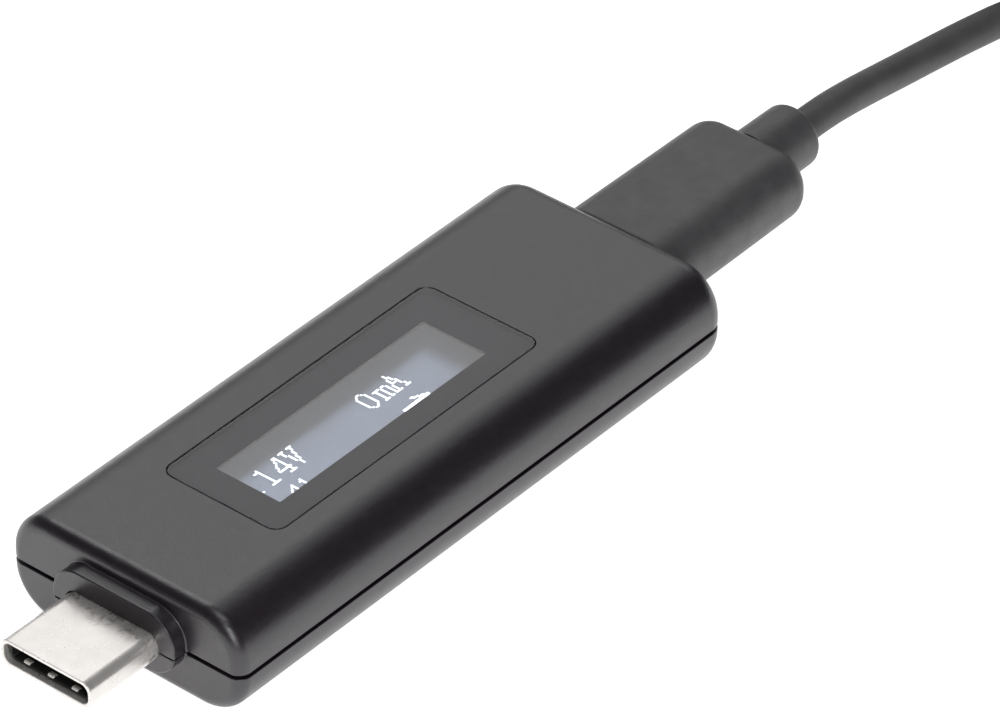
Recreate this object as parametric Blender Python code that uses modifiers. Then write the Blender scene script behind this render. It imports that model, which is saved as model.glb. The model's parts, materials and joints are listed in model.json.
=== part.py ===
"""USB-C power meter with a USB-C lead in its output socket.

The meter lies along X: its plug points to -X, its socket opens to +X and its display faces +Z.
The origin is at the middle of the meter's base. Lengths are in metres.
"""
import math

import bmesh
import bpy
from mathutils import Matrix, Vector

MM = 0.001

# Housing
HOUSING_LENGTH = 55.5 * MM
HOUSING_WIDTH = 22.4 * MM
HOUSING_HEIGHT = 9.1 * MM
SHOULDER_RADIUS = 3.9 * MM
FRONT_RADIUS = 1.1 * MM
REAR_RADIUS = 1.8 * MM
SIDE_WALL = 1.2 * MM
TOP_WALL = 1.7 * MM
BOTTOM_WALL = 1.1 * MM
CAVITY_RADIUS = 2.6 * MM
PARTING_HEIGHT = 4.36 * MM
PARTING_GAP = 0.35 * MM
GROOVE_DEPTH = 0.75 * MM
LIP_TOP = 4.95 * MM
LIP_CLEARANCE = 0.15 * MM
AXIS_HEIGHT = 4.55 * MM

# Collar round the plug's root
COLLAR_WIDTH = 12.0 * MM
COLLAR_HEIGHT = 5.7 * MM
COLLAR_RADIUS = 2.7 * MM
COLLAR_RISE = 0.5 * MM
COLLAR_REACH = 1.3 * MM

# Display window and the stack below it
WINDOW_START = 10.1 * MM
WINDOW_SHIFT = -0.3 * MM
WINDOW_LENGTH = 29.4 * MM
WINDOW_WIDTH = 11.2 * MM
WINDOW_RADIUS = 1.1 * MM
WINDOW_GAP = 0.3 * MM
WINDOW_THICKNESS = 0.88 * MM
WINDOW_SUNK = 0.02 * MM
POCKET_DEPTH = 1.25 * MM
OPENING_LENGTH = 26.0 * MM
OPENING_WIDTH = 8.6 * MM
VIEW_LENGTH = 23.2 * MM
VIEW_WIDTH = 6.2 * MM
OLED_LENGTH = 30.0 * MM
OLED_WIDTH = 11.5 * MM
OLED_TOP = 6.7 * MM
OLED_GLASS = 0.65 * MM
OLED_THICKNESS = 1.25 * MM
OLED_CAP_LENGTH = 26.0 * MM
FLEX_WIDTH = 8.0 * MM
FLEX_THICKNESS = 0.12 * MM

# Circuit board
BOARD_THICKNESS = 0.8 * MM
BOARD_WIDTH = 18.0 * MM
BOARD_START = 4.0 * MM
BOARD_END_GAP = 1.6 * MM
NOTCH_LENGTH = 6.8 * MM
NOTCH_WIDTH = 9.6 * MM
SEAT_GAP = 0.1 * MM

# USB-C plug and receptacle
PLUG_WIDTH = 8.25 * MM
PLUG_HEIGHT = 2.4 * MM
PLUG_INSERT = 6.65 * MM
PLUG_WALL = 0.2 * MM
PLUG_REACH = 8.15 * MM
SLOT_DEPTH = 5.55 * MM
SOCKET_WIDTH = 8.34 * MM
SOCKET_HEIGHT = 2.56 * MM
SOCKET_WALL = 0.3 * MM
CONTACT_COUNT = 12
CONTACT_PITCH = 0.5 * MM
CONTACT_WIDTH = 0.25 * MM

# Lead
GRIP_GAP = 0.4 * MM
GRIP_LENGTH = 17.25 * MM
GRIP_WIDTH = 11.6 * MM
GRIP_HEIGHT = 6.3 * MM
GRIP_RADIUS = 3.0 * MM
GRIP_TAPER = 0.98
RELIEF_LENGTH = 4.95 * MM
RELIEF_RADIUS = 2.75 * MM
CORD_DIAMETER = 2.8 * MM
TOUCH_GAP = 0.3 * MM
HANK_CENTRE = Vector((124.0, 1.5, 0)) * MM
HANK_RUN = 50.4 * MM
HANK_RADIUS = 9.83 * MM
HANK_PINCH = 6.5 * MM
HANK_RANKS = 2
HANK_LAYERS = 3
HANK_PITCH = 2.86 * MM
HANK_BASE = 0.55 * MM
TIE_WIDTH = 6.0 * MM
TIE_THICKNESS = 0.4 * MM
TAIL_HEADING = math.radians(18)

X_TIP = -(HOUSING_LENGTH + PLUG_REACH) / 2
X_FRONT = X_TIP + PLUG_REACH
X_REAR = X_FRONT + HOUSING_LENGTH
BOARD_BOTTOM = AXIS_HEIGHT - BOARD_THICKNESS / 2
BOARD_TOP = AXIS_HEIGHT + BOARD_THICKNESS / 2
WINDOW_CENTRE = (X_FRONT + WINDOW_START + WINDOW_LENGTH / 2, WINDOW_SHIFT)
LEAD_MOUTH = X_REAR + GRIP_GAP - PLUG_INSERT
CORD_EXIT = LEAD_MOUTH + PLUG_INSERT + GRIP_LENGTH + RELIEF_LENGTH

# The cord's ways from the near strain relief to the hank and from the hank to the far one, as points of
# its middle line in millimetres.
CORD_ROUTE = [
    (54.425, 0.00, 4.55), (58.10, 0.03, 4.48), (60.40, 0.15, 4.18), (63.50, 0.42, 3.52),
    (66.50, 0.70, 2.80), (69.40, 0.88, 2.18), (72.10, 0.90, 1.76), (74.60, 0.74, 1.53),
    (76.90, 0.44, 1.45), (79.10, 0.04, 1.43), (81.20, -0.42, 1.43), (83.66, -1.27, 1.43),
    (86.01, -2.79, 1.46), (88.24, -4.80, 1.55), (90.57, -6.69, 1.72), (93.17, -8.25, 1.92),
]
TAIL_ROUTE = [
    (149.20, -9.76, 7.67), (153.10, -9.68, 7.60), (157.00, -9.30, 7.05), (160.80, -8.50, 5.85),
    (164.50, -7.45, 4.50), (167.90, -6.40, 3.60), (171.00, -5.40, 3.25),
]

METER = bpy.data.collections.new("usb_power_meter")
CUTTERS = bpy.data.collections.new("cutters")
FACING = {
    "X": Matrix(((0, 0, 1), (1, 0, 0), (0, 1, 0))).to_4x4(),
    "Y": Matrix(((1, 0, 0), (0, 0, -1), (0, 1, 0))).to_4x4(),
    "Z": Matrix.Identity(4),
}
ON_AXIS = Matrix.Translation((0, 0, AXIS_HEIGHT))


def clear_scene():
    for thing in list(bpy.data.objects):
        bpy.data.objects.remove(thing, do_unlink=True)
    for collection in (METER, CUTTERS):
        bpy.context.scene.collection.children.link(collection)


def make_material(name, colour, roughness, metallic=0.0):
    material = bpy.data.materials.new(name)
    material.use_nodes = True
    shader = material.node_tree.nodes["Principled BSDF"]
    shader.inputs["Base Color"].default_value = (*colour, 1)
    shader.inputs["Roughness"].default_value = roughness
    shader.inputs["Metallic"].default_value = metallic
    return material


def finish(solid, material):
    """Gives a solid its material and smooth shading between its sharp edges."""
    solid.data.materials.clear()
    solid.data.materials.append(material)
    solid.data.shade_smooth()
    solid.data.set_sharp_from_angle(angle=math.radians(35))
    return solid


def as_cutter(solid):
    """Moves a solid that only shapes others to the cutters."""
    METER.objects.unlink(solid)
    CUTTERS.objects.link(solid)
    solid.hide_render = True
    solid.display_type = "WIRE"
    return solid


def shape(target, tool, operation):
    change = target.modifiers.new(operation.title(), "BOOLEAN")
    change.operation = operation
    change.object = tool
    change.solver = "EXACT"


# Outlines

def arc(centre, radius, start, end, steps):
    """Points on an arc from start to end degrees, both ends included."""
    angles = [math.radians(start + (end - start) * step / steps) for step in range(steps + 1)]
    return [(centre[0] + radius * math.cos(a), centre[1] + radius * math.sin(a)) for a in angles]


def rounded_rectangle(width, height, radius, centre=(0, 0), steps=6):
    """A rectangle with round corners, anticlockwise from its lower right corner."""
    across, up = width / 2 - radius, height / 2 - radius
    outline = []
    for side, rise, start in ((1, -1, -90), (1, 1, 0), (-1, 1, 90), (-1, -1, 180)):
        corner = (centre[0] + side * across, centre[1] + rise * up)
        outline += arc(corner, radius, start, start + 90, steps)
    return outline


def stadium(width, height):
    """A slot shape: two half circles joined by straight runs."""
    half = width / 2 - height / 2
    return arc((half, 0), height / 2, -90, 90, 10) + arc((-half, 0), height / 2, 90, 270, 10)


def comb(bar, tips, pitch, count, tooth):
    """A flat comb in X and Y: a bar between two X values, with teeth from it to the tips."""
    half = (count - 1) / 2 * pitch + tooth / 2
    near, far = bar if abs(bar[0] - tips) < abs(bar[1] - tips) else bar[::-1]
    outline = [(far, -half), (far, half)]
    for index in reversed(range(count)):
        middle = (index - (count - 1) / 2) * pitch
        if index < count - 1:
            outline.append((near, middle + tooth / 2))
        outline.append((tips, middle + tooth / 2))
        outline.append((tips, middle - tooth / 2))
        if index > 0:
            outline.append((near, middle - tooth / 2))
    return outline


# Solids

def solid_from_curve(guide, name):
    """Turns a filled curve into a closed mesh object in the meter's collection."""
    METER.objects.link(guide)
    bpy.context.view_layer.update()
    evaluated = guide.evaluated_get(bpy.context.evaluated_depsgraph_get())
    mesh = bpy.data.meshes.new_from_object(evaluated)
    work = bmesh.new()
    work.from_mesh(mesh)
    bmesh.ops.remove_doubles(work, verts=work.verts, dist=1e-7)
    bmesh.ops.dissolve_limit(work, angle_limit=1e-3, verts=work.verts, edges=work.edges)
    bmesh.ops.recalc_face_normals(work, faces=work.faces)
    work.to_mesh(mesh)
    work.free()
    solid = bpy.data.objects.new(name, mesh)
    solid.matrix_world = guide.matrix_world
    METER.objects.link(solid)
    bpy.data.objects.remove(guide, do_unlink=True)
    return solid


def prism(name, outline, low, high, axis="Z", frame=Matrix.Identity(4)):
    """A flat outline drawn out along an axis of the frame, from low to high."""
    curve = bpy.data.curves.new(name, "CURVE")
    curve.dimensions = "2D"
    curve.fill_mode = "BOTH"
    curve.extrude = (high - low) / 2
    spline = curve.splines.new("POLY")
    spline.points.add(len(outline) - 1)
    for point, (across, up) in zip(spline.points, outline):
        point.co = (across, up, 0, 1)
    spline.use_cyclic_u = True
    guide = bpy.data.objects.new(name + "_outline", curve)
    guide.matrix_world = frame @ FACING[axis] @ Matrix.Translation((0, 0, (low + high) / 2))
    return solid_from_curve(guide, name)


def rim_edges(work, height):
    return [e for e in work.edges if all(abs(v.co.z - height) < 1e-6 for v in e.verts)]


def edit_rim(solid, end, radius=0.0, scale=1.0, steps=3):
    """Scales one end of a prism, then rounds the rim there."""
    work = bmesh.new()
    work.from_mesh(solid.data)
    heights = [v.co.z for v in work.verts]
    level = max(heights) if end == "high" else min(heights)
    for vertex in work.verts:
        if abs(vertex.co.z - level) < 1e-6:
            vertex.co.x *= scale
            vertex.co.y *= scale
    if radius:
        rim = rim_edges(work, level)
        bmesh.ops.bevel(work, geom=rim, offset=radius, offset_type="OFFSET", segments=steps, profile=0.5,
                        affect="EDGES", clamp_overlap=False)
    work.to_mesh(solid.data)
    work.free()
    return solid


def block(name, low, high, frame=Matrix.Identity(4)):
    """A box between two corners."""
    low, high = Vector(low), Vector(high)
    mesh = bpy.data.meshes.new(name)
    work = bmesh.new()
    bmesh.ops.create_cube(work, size=1)
    bmesh.ops.scale(work, vec=high - low, verts=work.verts)
    work.to_mesh(mesh)
    work.free()
    solid = bpy.data.objects.new(name, mesh)
    solid.matrix_world = frame @ Matrix.Translation((low + high) / 2)
    METER.objects.link(solid)
    return solid


def post(name, x, y, radius, low, high):
    mesh = bpy.data.meshes.new(name)
    work = bmesh.new()
    bmesh.ops.create_cone(work, cap_ends=True, segments=16, radius1=radius, radius2=radius, depth=high - low)
    work.to_mesh(mesh)
    work.free()
    solid = bpy.data.objects.new(name, mesh)
    solid.location = (x, y, (low + high) / 2)
    METER.objects.link(solid)
    return solid


# Housing

def housing_blank(name, half):
    """The whole housing as one solid with its plug collar, cut to one half."""
    outline = rounded_rectangle(HOUSING_WIDTH, HOUSING_HEIGHT, SHOULDER_RADIUS,
                                centre=(0, HOUSING_HEIGHT / 2), steps=8)
    blank = prism(name, outline, X_FRONT, X_REAR, "X")
    edit_rim(blank, "low", FRONT_RADIUS, steps=4)
    edit_rim(blank, "high", REAR_RADIUS, steps=4)
    collar = prism(name + "_collar", rounded_rectangle(COLLAR_WIDTH, COLLAR_HEIGHT, COLLAR_RADIUS,
                                                       centre=(0, COLLAR_RISE)),
                   X_FRONT - COLLAR_REACH, X_FRONT + SIDE_WALL, "X", ON_AXIS)
    edit_rim(collar, "low", 0.15 * MM, steps=2)
    shape(blank, as_cutter(collar), "UNION")
    shape(blank, half, "INTERSECT")
    return blank


def half_space(name, low, high):
    reach = HOUSING_LENGTH
    return as_cutter(block(name, (-reach, -reach, low), (reach, reach, high)))


def housing(material):
    half_gap = PARTING_GAP / 2
    above = half_space("above_parting", PARTING_HEIGHT + half_gap, 2 * HOUSING_HEIGHT)
    below = half_space("below_parting", -HOUSING_HEIGHT, PARTING_HEIGHT - half_gap)
    cavity_height = HOUSING_HEIGHT - TOP_WALL - BOTTOM_WALL
    cavity = as_cutter(prism(
        "cavity", rounded_rectangle(HOUSING_WIDTH - 2 * SIDE_WALL, cavity_height, CAVITY_RADIUS,
                                    centre=(0, BOTTOM_WALL + cavity_height / 2)),
        X_FRONT + SIDE_WALL, X_REAR - SIDE_WALL, "X"))
    plug_hole = as_cutter(prism("plug_hole", stadium(PLUG_WIDTH + 0.3 * MM, PLUG_HEIGHT + 0.3 * MM),
                                X_TIP, X_FRONT + 2 * SIDE_WALL, "X", ON_AXIS))
    clear = 2 * SOCKET_WALL + 0.4 * MM
    socket_hole = as_cutter(prism("socket_hole", stadium(SOCKET_WIDTH + clear, SOCKET_HEIGHT + clear),
                                  X_REAR - 2 * SIDE_WALL, X_REAR + SIDE_WALL, "X", ON_AXIS))
    upper_shell(above, cavity, plug_hole, socket_hole, material)
    lower_shell(below, cavity, plug_hole, socket_hole, material)


def plan_outline(inset, radius):
    return rounded_rectangle(HOUSING_LENGTH - 2 * inset, HOUSING_WIDTH - 2 * inset, radius,
                             centre=((X_FRONT + X_REAR) / 2, 0), steps=3)


def upper_shell(above, cavity, plug_hole, socket_hole, material):
    shell = housing_blank("upper_shell", above)
    inset = GROOVE_DEPTH - LIP_CLEARANCE
    rebate = prism("lip_rebate", plan_outline(inset, 1.0 * MM), PARTING_HEIGHT, LIP_TOP + 0.2 * MM)
    pocket = prism("window_pocket",
                   rounded_rectangle(WINDOW_LENGTH + 2 * WINDOW_GAP, WINDOW_WIDTH + 2 * WINDOW_GAP,
                                     WINDOW_RADIUS + WINDOW_GAP, centre=WINDOW_CENTRE),
                   HOUSING_HEIGHT - POCKET_DEPTH, 2 * HOUSING_HEIGHT)
    opening = prism("window_opening",
                    rounded_rectangle(OPENING_LENGTH, OPENING_WIDTH, 0.5 * MM, centre=WINDOW_CENTRE, steps=2),
                    HOUSING_HEIGHT / 2, HOUSING_HEIGHT)
    for tool in (rebate, pocket, opening):
        as_cutter(tool)
    for tool in (rebate, cavity, pocket, opening, plug_hole, socket_hole):
        shape(shell, tool, "DIFFERENCE")
    finish(shell, material)


def lower_shell(below, cavity, plug_hole, socket_hole, material):
    shell = housing_blank("lower_shell", below)
    lip = as_cutter(prism("lip", plan_outline(GROOVE_DEPTH, 0.9 * MM), PARTING_HEIGHT - 1.0 * MM, LIP_TOP))
    shape(shell, lip, "UNION")
    for tool in (cavity, plug_hole, socket_hole):
        shape(shell, tool, "DIFFERENCE")
    for index, (x, y) in enumerate(((X_FRONT + 8 * MM, -7.4 * MM), (X_FRONT + 8 * MM, 7.4 * MM),
                                    (X_REAR - 10 * MM, -7.4 * MM), (X_REAR - 10 * MM, 7.4 * MM))):
        support = post("board_post_%d" % index, x, y, 1.1 * MM, BOTTOM_WALL / 2, BOARD_BOTTOM - TOUCH_GAP)
        shape(shell, as_cutter(support), "UNION")
    finish(shell, material)


# Display

def display(glass, foam, film, adhesive):
    top = HOUSING_HEIGHT - WINDOW_SUNK
    window = prism("display_window",
                   rounded_rectangle(WINDOW_LENGTH, WINDOW_WIDTH, WINDOW_RADIUS, centre=WINDOW_CENTRE),
                   top - WINDOW_THICKNESS, top)
    finish(window, glass)
    seat = HOUSING_HEIGHT - POCKET_DEPTH + SEAT_GAP
    gasket = prism("window_gasket",
                   rounded_rectangle(WINDOW_LENGTH - 0.2 * MM, WINDOW_WIDTH - 0.2 * MM, WINDOW_RADIUS,
                                     centre=WINDOW_CENTRE),
                   seat, seat + 0.15 * MM)
    opening = prism("gasket_opening",
                    rounded_rectangle(VIEW_LENGTH, VIEW_WIDTH, 0.15 * MM, centre=WINDOW_CENTRE, steps=2),
                    seat - MM, seat + MM)
    shape(gasket, as_cutter(opening), "DIFFERENCE")
    finish(gasket, adhesive)

    middle, shift = WINDOW_CENTRE
    front, half = middle - OLED_LENGTH / 2, OLED_WIDTH / 2
    panel = block("oled_panel", (front, shift - half, OLED_TOP - OLED_GLASS),
                  (front + OLED_LENGTH, shift + half, OLED_TOP))
    cap_low = OLED_TOP - OLED_THICKNESS
    cap = block("oled_cap", (front + 0.2 * MM, shift - half + 0.1 * MM, cap_low),
                (front + OLED_CAP_LENGTH, shift + half - 0.1 * MM, OLED_TOP - OLED_GLASS / 2))
    shape(panel, as_cutter(cap), "UNION")
    finish(panel, glass)
    pad = block("oled_pad", (front + 2 * MM, shift - 4.8 * MM, BOARD_TOP + SEAT_GAP),
                (front + OLED_CAP_LENGTH - 2 * MM, shift + 4.8 * MM, cap_low - SEAT_GAP))
    finish(pad, foam)
    flex(front + OLED_LENGTH, film)


def flex(panel_end, material):
    """The display's flexible tail: it leaves the panel's lower face and steps down to the board."""
    high = OLED_TOP - OLED_GLASS - SEAT_GAP - FLEX_THICKNESS / 2
    low = BOARD_TOP + SEAT_GAP + FLEX_THICKNESS / 2
    start, bend, drop, steps = panel_end - 3.4 * MM, panel_end + 0.3 * MM, 2.6 * MM, 8
    path = [Vector((start, high))]
    for step in range(steps + 1):
        part = step / steps
        path.append(Vector((bend + drop * part, low + (high - low) * (1 + math.cos(math.pi * part)) / 2)))
    path.append(Vector((bend + drop + 3.0 * MM, low)))
    upper, lower = [], []
    for index, place in enumerate(path):
        along = (path[min(index + 1, len(path) - 1)] - path[max(index - 1, 0)]).normalized()
        normal = Vector((-along.y, along.x)) * FLEX_THICKNESS / 2
        upper.append(tuple(place + normal))
        lower.append(tuple(place - normal))
    shift = WINDOW_CENTRE[1]
    tail = prism("oled_flex", lower + upper[::-1], -FLEX_WIDTH / 2 - shift, FLEX_WIDTH / 2 - shift, "Y")
    finish(tail, material)


# Circuit board

def circuit_board(laminate, resin, ceramic, metal):
    front, rear = X_FRONT + BOARD_START, X_REAR - BOARD_END_GAP
    half, notch = BOARD_WIDTH / 2, NOTCH_WIDTH / 2
    outline = [(front, -half), (rear, -half), (rear, -notch), (rear - NOTCH_LENGTH, -notch),
               (rear - NOTCH_LENGTH, notch), (rear, notch), (rear, half), (front, half)]
    finish(prism("main_board", outline, BOARD_BOTTOM, BOARD_TOP), laminate)
    parts = (
        ("microcontroller", (-2.0, -1.5), (5.0, 5.0, 0.9), resin),
        ("voltage_regulator", (-11.0, 4.5), (2.9, 1.6, 1.1), resin),
        ("current_shunt", (12.0, -4.5), (6.3, 3.2, 0.6), metal),
        ("current_sense_amplifier", (12.0, 1.5), (3.0, 3.0, 0.85), resin),
        ("input_capacitor", (-14.5, -4.0), (3.2, 1.6, 1.5), ceramic),
        ("output_capacitor", (18.5, 6.0), (3.2, 1.6, 1.5), ceramic),
    )
    for name, (x, y), (length, width, height), material in parts:
        size = Vector((length, width, height)) * MM
        low = Vector((x * MM - size.x / 2, y * MM - size.y / 2, BOARD_BOTTOM - SEAT_GAP - size.z))
        piece = block(name, low, low + size)
        edge = piece.modifiers.new("Chamfer", "BEVEL")
        edge.width = 0.08 * MM
        edge.segments = 1
        finish(piece, material)


# USB-C parts

def contact_comb(name, tips, bar, low, high, frame, material):
    outline = comb(bar, tips, CONTACT_PITCH, CONTACT_COUNT, CONTACT_WIDTH)
    return finish(prism(name, outline, low, high, "Z", frame), material)


def usb_plug(prefix, frame, shell_length, nickel, liquid_crystal, gold):
    """A USB-C plug. In its frame the mouth is at X = 0 and the root is towards +X."""
    shell = prism(prefix + "plug_shell", stadium(PLUG_WIDTH, PLUG_HEIGHT), 0, shell_length, "X", frame)
    edit_rim(shell, "low", 0.22 * MM, steps=3)
    bore = prism(prefix + "shell_bore", stadium(PLUG_WIDTH - 2 * PLUG_WALL, PLUG_HEIGHT - 2 * PLUG_WALL),
                 -MM, shell_length + MM, "X", frame)
    shape(shell, as_cutter(bore), "DIFFERENCE")
    finish(shell, nickel)

    clearance = PLUG_WALL + 0.07 * MM
    body = prism(prefix + "plug_insulator",
                 stadium(PLUG_WIDTH - 2 * clearance, PLUG_HEIGHT - 2 * clearance),
                 0.45 * MM, shell_length - 0.1 * MM, "X", frame)
    slot = block(prefix + "slot", (-MM, -3.6 * MM, -0.55 * MM), (SLOT_DEPTH, 3.6 * MM, 0.55 * MM), frame)
    shape(body, as_cutter(slot), "DIFFERENCE")
    finish(body, liquid_crystal)

    bar = (SLOT_DEPTH - 0.5 * MM, SLOT_DEPTH - 0.15 * MM)
    contact_comb(prefix + "contacts_upper", 1.6 * MM, bar, 0.40 * MM, 0.50 * MM, frame, gold)
    contact_comb(prefix + "contacts_lower", 1.6 * MM, bar, -0.50 * MM, -0.40 * MM, frame, gold)
    hook, outer, inner = 3.08 * MM, 3.5 * MM, 3.3 * MM
    start, hook_end = 0.9 * MM, 1.5 * MM
    near, far = SLOT_DEPTH - 0.5 * MM, SLOT_DEPTH - 0.15 * MM
    outline = [(start, -outer), (far, -outer), (far, outer), (start, outer), (start, hook),
               (hook_end, hook), (hook_end + 0.4 * MM, inner), (near, inner), (near, -inner),
               (hook_end + 0.4 * MM, -inner), (hook_end, -hook), (start, -hook)]
    latch = prism(prefix + "plug_latch", outline, -0.12 * MM, 0.12 * MM, "Z", frame)
    finish(latch, nickel)


def ground_springs(frame, nickel):
    """Two stamped strips with three tongues each, just inside the plug's mouth."""
    for name, low in (("ground_springs_upper", 0.42 * MM), ("ground_springs_lower", -0.52 * MM)):
        outline = comb((1.05 * MM, 1.35 * MM), 0.5 * MM, 2.25 * MM, 3, 1.0 * MM)
        finish(prism(name, outline, low, low + 0.1 * MM, "Z", frame), nickel)


def receptacle(nickel, liquid_crystal, gold):
    back, mouth = X_REAR - 8.1 * MM, X_REAR - 0.2 * MM
    outline = stadium(SOCKET_WIDTH + 2 * SOCKET_WALL, SOCKET_HEIGHT + 2 * SOCKET_WALL)
    shell = prism("receptacle_shell", outline, back, mouth, "X", ON_AXIS)
    tab_low = BOARD_TOP + SEAT_GAP
    tabs = block("receptacle_tabs", (back + 1.6 * MM, -6.2 * MM, tab_low),
                 (back + 3.4 * MM, 6.2 * MM, tab_low + 0.3 * MM))
    shape(shell, as_cutter(tabs), "UNION")
    bore = prism("receptacle_bore", stadium(SOCKET_WIDTH, SOCKET_HEIGHT), back - MM, mouth + MM, "X", ON_AXIS)
    shape(shell, as_cutter(bore), "DIFFERENCE")
    finish(shell, nickel)

    base = prism("receptacle_tongue", stadium(SOCKET_WIDTH - 0.24 * MM, SOCKET_HEIGHT - 0.26 * MM),
                 back + 0.1 * MM, back + 1.1 * MM, "X", ON_AXIS)
    tongue = block("tongue_blade", (back + 0.6 * MM, -3.0 * MM, -0.25 * MM),
                   (X_REAR - 1.7 * MM, 3.0 * MM, 0.25 * MM), ON_AXIS)
    shape(base, as_cutter(tongue), "UNION")
    finish(base, liquid_crystal)
    bar = (back + 1.2 * MM, back + 1.5 * MM)
    tips = X_REAR - 2.2 * MM
    contact_comb("receptacle_contacts_upper", tips, bar, 0.28 * MM, 0.34 * MM, ON_AXIS, gold)
    contact_comb("receptacle_contacts_lower", tips, bar, -0.34 * MM, -0.28 * MM, ON_AXIS, gold)


# Lead

def grip_and_relief(prefix, frame, soft_plastic):
    """The overmoulded grip behind a plug and the strain relief behind it."""
    front, rear = PLUG_INSERT, PLUG_INSERT + GRIP_LENGTH
    section = rounded_rectangle(GRIP_WIDTH, GRIP_HEIGHT, GRIP_RADIUS)
    grip = prism(prefix + "grip", section, front, rear, "X", frame)
    edit_rim(grip, "low", 0.4 * MM, steps=2)
    edit_rim(grip, "high", 1.8 * MM, GRIP_TAPER, steps=4)
    recess = prism(prefix + "grip_recess", stadium(PLUG_WIDTH + 2 * TOUCH_GAP, PLUG_HEIGHT + 2 * TOUCH_GAP),
                   front - MM, front + 1.6 * MM, "X", frame)
    shape(grip, as_cutter(recess), "DIFFERENCE")
    finish(grip, soft_plastic)
    circle = arc((0, 0), RELIEF_RADIUS, 0, 345, 23)
    relief = prism(prefix + "strain_relief", circle, rear + TOUCH_GAP, rear + RELIEF_LENGTH, "X", frame)
    edit_rim(relief, "high", 0.6 * MM, steps=3)
    finish(relief, soft_plastic)


def smooth_path(points, spacing):
    """Points of a Catmull-Rom curve through the given ones, about one spacing apart."""
    ends = [2 * points[0] - points[1], *points, 2 * points[-1] - points[-2]]
    path = [points[0]]
    for before, start, end, after in zip(ends, ends[1:], ends[2:], ends[3:]):
        steps = max(1, round((end - start).length / spacing))
        for step in range(1, steps + 1):
            t = step / steps
            path.append(0.5 * (2 * start + (end - before) * t
                               + (2 * before - 5 * start + 4 * end - after) * t ** 2
                               + (3 * start - before - 3 * end + after) * t ** 3))
    return path


def tube(name, path, diameter, material):
    curve = bpy.data.curves.new(name, "CURVE")
    curve.dimensions = "3D"
    curve.bevel_depth = diameter / 2
    curve.bevel_resolution = 2
    curve.use_fill_caps = True
    spline = curve.splines.new("POLY")
    spline.points.add(len(path) - 1)
    for point, place in zip(spline.points, path):
        point.co = (*place, 1)
    cord = bpy.data.objects.new(name, curve)
    curve.materials.append(material)
    METER.objects.link(cord)


def hank_place(turns, outwards):
    """A place on the hank from above. Half a turn is a run that the tie pinches in, and a fold."""
    half = turns % 1
    side = 1 if half < 0.5 else -1
    run_share = HANK_RUN / (HANK_RUN + math.pi * HANK_RADIUS)
    part = half % 0.5 * 2
    if part < run_share:
        along = part / run_share
        angle = 2 * math.pi * along
        slope = math.pi * HANK_PINCH / HANK_RUN * math.sin(angle)
        pinched = HANK_PINCH * (1 - math.cos(angle)) / 2
        place = Vector(((along - 0.5) * HANK_RUN, pinched - HANK_RADIUS))
        normal = Vector((slope, -1)).normalized()
    else:
        angle = math.pi * ((part - run_share) / (1 - run_share) - 0.5)
        normal = Vector((math.cos(angle), math.sin(angle)))
        place = Vector((HANK_RUN / 2, 0)) + HANK_RADIUS * normal
    return HANK_CENTRE.xy + side * (place + outwards * normal)


def clear_of_hank(path):
    """The part of a path whose cord stays a touching gap off the hank's folds."""
    reach = HANK_RADIUS + (HANK_RANKS - 1) / 2 * HANK_PITCH + CORD_DIAMETER + TOUCH_GAP
    folds = [HANK_CENTRE.xy + Vector((side * HANK_RUN / 2, 0)) for side in (-1, 1)]
    return [p for p in path if all((p.xy - fold).length > reach for fold in folds)]


def hank_and_tie(cord_plastic, strap):
    half_width = ((HANK_RANKS - 1) * HANK_PITCH + CORD_DIAMETER) / 2
    height = (HANK_LAYERS - 1) * HANK_PITCH + CORD_DIAMETER
    steps = 72
    outer, inner = ([tuple(hank_place(step / steps, side * half_width)) for step in range(steps)]
                    for side in (1, -1))
    hank = prism("lead_hank", outer, HANK_BASE, HANK_BASE + height)
    for end in ("low", "high"):
        edit_rim(hank, end, 0.8 * MM, steps=2)
    middle = prism("hank_middle", inner, -height, 3 * height)
    shape(hank, as_cutter(middle), "DIFFERENCE")
    finish(hank, cord_plastic)

    gap = 0.1 * MM
    run_share = HANK_RUN / (HANK_RUN + math.pi * HANK_RADIUS) / 2
    beside_tie = hank_place(run_share * (0.5 + TIE_WIDTH / 2 / HANK_RUN), half_width)
    half_loop = HANK_CENTRE.y - beside_tie.y + gap
    frame = Matrix.Translation(HANK_CENTRE) @ Matrix.Translation((0, 0, HANK_BASE + height / 2))
    width, rise = 2 * half_loop, height + 2 * gap
    around = rounded_rectangle(width + 2 * TIE_THICKNESS, rise + 2 * TIE_THICKNESS, 1.2 * MM, steps=3)
    tie = prism("hank_tie", around, -TIE_WIDTH / 2, TIE_WIDTH / 2, "X", frame)
    inside = rounded_rectangle(width, rise, 0.8 * MM, steps=3)
    bundle = prism("tie_inside", inside, -TIE_WIDTH, TIE_WIDTH, "X", frame)
    shape(tie, as_cutter(bundle), "DIFFERENCE")
    finish(tie, strap)


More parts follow.
